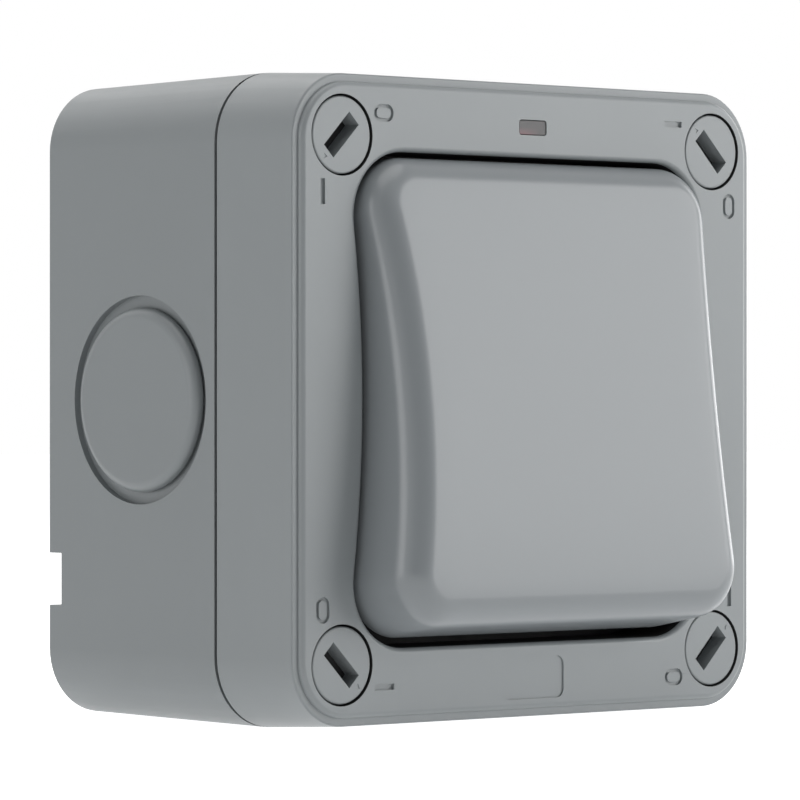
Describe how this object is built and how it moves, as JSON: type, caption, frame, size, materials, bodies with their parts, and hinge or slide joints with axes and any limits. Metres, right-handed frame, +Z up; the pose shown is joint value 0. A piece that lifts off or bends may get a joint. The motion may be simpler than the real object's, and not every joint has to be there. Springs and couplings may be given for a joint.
{
  "type": "outdoor weatherproof switch",
  "caption": "Square surface-mounted weatherproof wall switch with a wide rocker, corner turn fasteners and blanked conduit entries.",
  "frame": {"origin": "centre of the plane that lies on the wall", "axes": "-Y out of the front, +Y into the wall, +Z up, +X to the right seen from the front"},
  "size_m": [0.099, 0.0683, 0.0984],
  "materials": {
    "housing": "satin moulded grey",
    "bezel": "satin moulded light grey",
    "rocker": "satin moulded light grey",
    "seal": "black elastomer",
    "lens": "smoked moulded lens",
    "lamp": "red diffused lamp",
    "inner_plastic": "white moulded",
    "brass": "bright brass",
    "steel": "zinc plated",
    "copper": "copper alloy with silver contact"
  },
  "bodies": {
    "housing": {"back_box": "housing", "front_cover": "bezel", "cover_gasket": "seal", "indicator_lens": "lens", "indicator_lamp": "lamp", "lamp_holder": "inner_plastic", "drive_boot": "seal", "boot_clamp": "inner_plastic", "clamp_screw_top": "steel", "clamp_screw_bottom": "steel", "switch_base": "inner_plastic", "switch_top": "inner_plastic", "top_screw_upper": "steel", "top_screw_lower": "steel", "mount_screw_left": "steel", "mount_screw_right": "steel", "earth_terminal": "brass", "earth_screw": "steel", "entry_plug_left": "housing", "plug_seal_left": "seal", "plug_nut_left": "housing", "entry_plug_top": "housing", "plug_seal_top": "seal", "plug_nut_top": "housing", "entry_plug_right": "housing", "plug_seal_right": "seal", "plug_nut_right": "housing", "terminal_line_in": "brass", "screw_line_in": "steel", "terminal_line_out": "brass", "screw_line_out": "steel", "terminal_neutral_in": "brass", "screw_neutral_in": "steel", "terminal_neutral_out": "brass", "screw_neutral_out": "steel"},
    "rocker": {"rocker": "rocker"},
    "dolly": {"dolly": "inner_plastic", "plunger_line": "inner_plastic", "plunger_spring_line": "steel", "plunger_neutral": "inner_plastic", "plunger_spring_neutral": "steel"},
    "contact_arm_line": {"contact_arm_line": "copper"},
    "contact_arm_neutral": {"contact_arm_neutral": "copper"},
    "fastener_top_left": {"fastener_top_left": "bezel", "fastener_ring_top_left": "seal"},
    "fastener_top_right": {"fastener_top_right": "bezel", "fastener_ring_top_right": "seal"},
    "fastener_bottom_right": {"fastener_bottom_right": "bezel", "fastener_ring_bottom_right": "seal"},
    "fastener_bottom_left": {"fastener_bottom_left": "bezel", "fastener_ring_bottom_left": "seal"}
  },
  "joints": [
    {"name": "rocker_hinge", "type": "hinge", "parent": "housing", "child": "rocker", "pos_m": [0, -0.051, 0], "axis": [1, 0, 0], "range_deg": [0, 14.6]},
    {"name": "dolly_hinge", "type": "hinge", "parent": "housing", "child": "dolly", "pos_m": [0, -0.0365, 0], "axis": [1, 0, 0], "range_deg": [-21.9, 0]},
    {"name": "contact_line_hinge", "type": "hinge", "parent": "housing", "child": "contact_arm_line", "pos_m": [-0.0075, -0.026, 0], "axis": [1, 0, 0], "range_deg": [0, 12]},
    {"name": "contact_neutral_hinge", "type": "hinge", "parent": "housing", "child": "contact_arm_neutral", "pos_m": [0.0075, -0.026, 0], "axis": [1, 0, 0], "range_deg": [0, 12]},
    {"name": "fastener_top_left_turn", "type": "hinge", "parent": "housing", "child": "fastener_top_left", "pos_m": [-0.039, -0.057, 0.039], "axis": [0, -1, 0], "range_deg": [0, 180]},
    {"name": "fastener_top_right_turn", "type": "hinge", "parent": "housing", "child": "fastener_top_right", "pos_m": [0.039, -0.057, 0.039], "axis": [0, -1, 0], "range_deg": [0, 180]},
    {"name": "fastener_bottom_right_turn", "type": "hinge", "parent": "housing", "child": "fastener_bottom_right", "pos_m": [0.039, -0.057, -0.039], "axis": [0, -1, 0], "range_deg": [0, 180]},
    {"name": "fastener_bottom_left_turn", "type": "hinge", "parent": "housing", "child": "fastener_bottom_left", "pos_m": [-0.039, -0.057, -0.039], "axis": [0, -1, 0], "range_deg": [0, 180]}
  ],
  "couplings": [
    {"joint": "dolly_hinge", "follows": "rocker_hinge", "ratio": -1.5},
    {"joint": "contact_line_hinge", "follows": "rocker_hinge", "ratio": 0.82191},
    {"joint": "contact_neutral_hinge", "follows": "rocker_hinge", "ratio": 0.82191}
  ]
}
